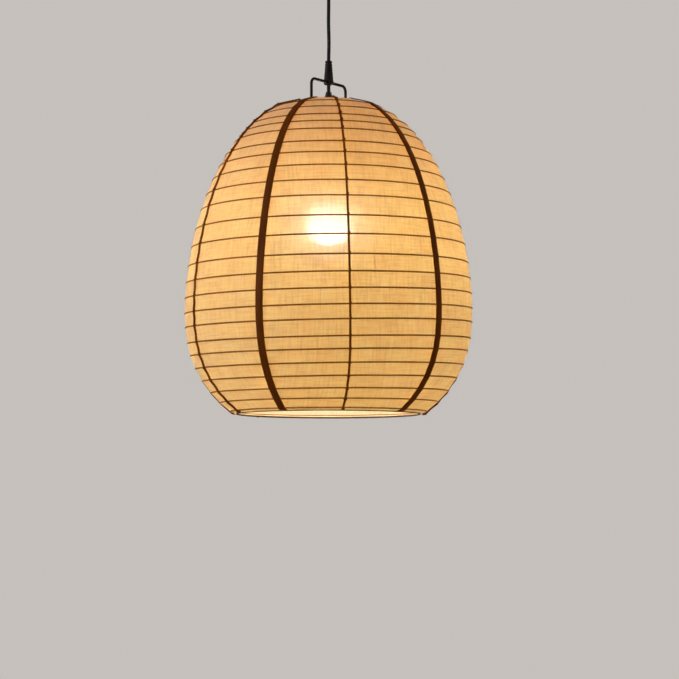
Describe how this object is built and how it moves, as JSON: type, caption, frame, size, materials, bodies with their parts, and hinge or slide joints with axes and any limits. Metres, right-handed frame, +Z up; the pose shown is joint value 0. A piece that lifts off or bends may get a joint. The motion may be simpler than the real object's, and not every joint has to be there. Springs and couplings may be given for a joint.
{
  "type": "hanging lamp shade",
  "caption": "Egg-shaped fabric lamp shade on wire hoops with straps and rib cords, hanging by its supply cord from a round ceiling fitting, with lampholder and bulb.",
  "frame": {"origin": "centre of the ceiling bar's top face, on the ceiling", "axes": "+Z up out of the ceiling face, -Y towards the first strap, X square to it"},
  "size_m": [0.4044, 0.4062, 0.638],
  "materials": {
    "cover_fabric": "linen with slubs, lit from inside",
    "strap": "flat cane strip stained dark brown, satin",
    "rib_cord": "twisted waxed twine",
    "hoop_wire": "thin wire lacquered brown",
    "frame_wire": "wire lacquered dark brown",
    "cord_sheath": "round black cable",
    "black_rubber": "matt black, grooved",
    "black_plastic": "satin black",
    "holder_plastic": "satin black moulding",
    "contact_brass": "bright",
    "bulb_metal": "rolled screw cap",
    "bulb_plastic": "white moulding",
    "bulb_opal": "opal diffuser, lit",
    "canopy": "white powder coat",
    "canopy_plastic": "white moulding",
    "block_plastic": "ivory moulding",
    "zinc_plate": "zinc plated strip",
    "screw_steel": "pan heads"
  },
  "bodies": {
    "ceiling": {"ceiling_bar": "zinc_plate", "ceiling_canopy": "canopy", "canopy_screws": "screw_steel", "terminal_block": "block_plastic", "cord_grip": "canopy_plastic"},
    "swivel": {"grip_ball": "black_plastic"},
    "cord": {"supply_cord": "cord_sheath", "strain_relief": "black_rubber", "relief_clip": "black_plastic", "holder_cord": "cord_sheath", "holder_cap": "holder_plastic", "holder_skirt": "holder_plastic", "holder_contact": "contact_brass"},
    "shade": {"bracket": "frame_wire", "top_ring": "frame_wire", "mouth_ring": "frame_wire", "strap_1": "strap", "strap_2": "strap", "strap_3": "strap", "strap_4": "strap", "strap_5": "strap", "rib_cord_1": "rib_cord", "rib_cord_2": "rib_cord", "rib_cord_3": "rib_cord", "rib_cord_4": "rib_cord", "rib_cord_5": "rib_cord", "cover_panel_1": "cover_fabric", "cover_panel_2": "cover_fabric", "cover_panel_3": "cover_fabric", "cover_panel_4": "cover_fabric", "cover_panel_5": "cover_fabric", "hoop_1": "hoop_wire", "hoop_2": "hoop_wire", "hoop_3": "hoop_wire", "hoop_4": "hoop_wire", "hoop_5": "hoop_wire", "hoop_6": "hoop_wire", "hoop_7": "hoop_wire", "hoop_8": "hoop_wire", "hoop_9": "hoop_wire", "hoop_10": "hoop_wire", "hoop_11": "hoop_wire", "hoop_12": "hoop_wire", "hoop_13": "hoop_wire", "hoop_14": "hoop_wire", "hoop_15": "hoop_wire", "hoop_16": "hoop_wire", "hoop_17": "hoop_wire", "hoop_18": "hoop_wire", "hoop_19": "hoop_wire", "hoop_20": "hoop_wire", "hoop_21": "hoop_wire", "hoop_22": "hoop_wire", "hoop_23": "hoop_wire", "hoop_24": "hoop_wire"},
    "bulb_slider": {"bulb_contact": "contact_brass"},
    "bulb": {"bulb_cap": "bulb_metal", "bulb_neck": "bulb_plastic", "bulb_globe": "bulb_opal"}
  },
  "joints": [
    {"name": "sway_fore", "type": "hinge", "parent": "ceiling", "child": "swivel", "pos_m": [0, 0, -0.038], "axis": [1, 0, 0], "range_deg": [-20, 20]},
    {"name": "sway_side", "type": "hinge", "parent": "swivel", "child": "cord", "pos_m": [0, 0, -0.038], "axis": [0, 1, 0], "range_deg": [-20, 20]},
    {"name": "shade_turn", "type": "hinge", "parent": "cord", "child": "shade", "pos_m": [0, 0, -0.165], "axis": [0, 0, 1], "continuous": true},
    {"name": "bulb_out", "type": "slide", "parent": "cord", "child": "bulb_slider", "axis": [0, 0, -1], "range_m": [0, 0.02]},
    {"name": "bulb_turn", "type": "hinge", "parent": "bulb_slider", "child": "bulb", "pos_m": [0, 0, -0.3], "axis": [0, 0, -1], "range_deg": [0, 1980]}
  ],
  "couplings": [
    {"joint": "bulb_out", "follows": "bulb_turn", "m_per_rad": 0.0005775}
  ]
}
